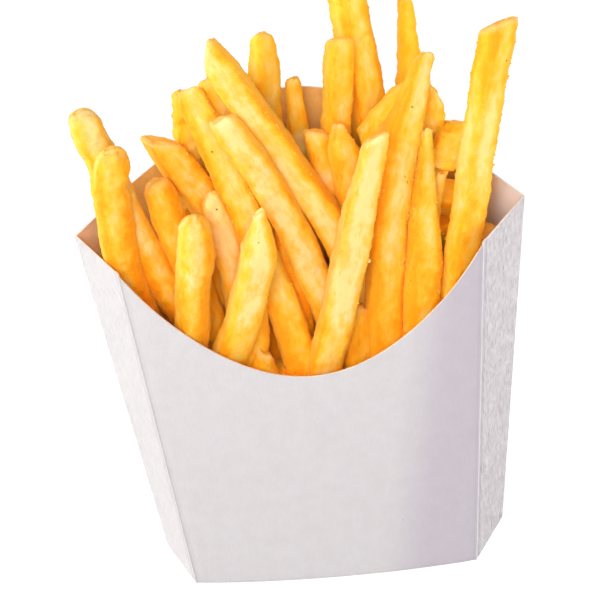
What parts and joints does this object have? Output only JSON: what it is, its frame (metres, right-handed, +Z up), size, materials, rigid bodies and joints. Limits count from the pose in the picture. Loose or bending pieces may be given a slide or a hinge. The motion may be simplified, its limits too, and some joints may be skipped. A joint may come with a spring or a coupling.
{
  "type": "french fries in a carton",
  "caption": "Golden french fries standing loose in a plain white scoop carton with a low curved front and a tall pointed back.",
  "frame": {"origin": "middle of the carton's flat base", "axes": "+Z up along the carton's height, -Y out of the low front panel, +X to the right of someone facing that panel"},
  "size_m": [0.1121, 0.0426, 0.159],
  "materials": {
    "board": "white coated outside, bare kraft inside",
    "potato": "crisp fried crust with a little oil sheen"
  },
  "bodies": {
    "root": {"carton": "board", "fries": "potato"}
  },
  "joints": []
}
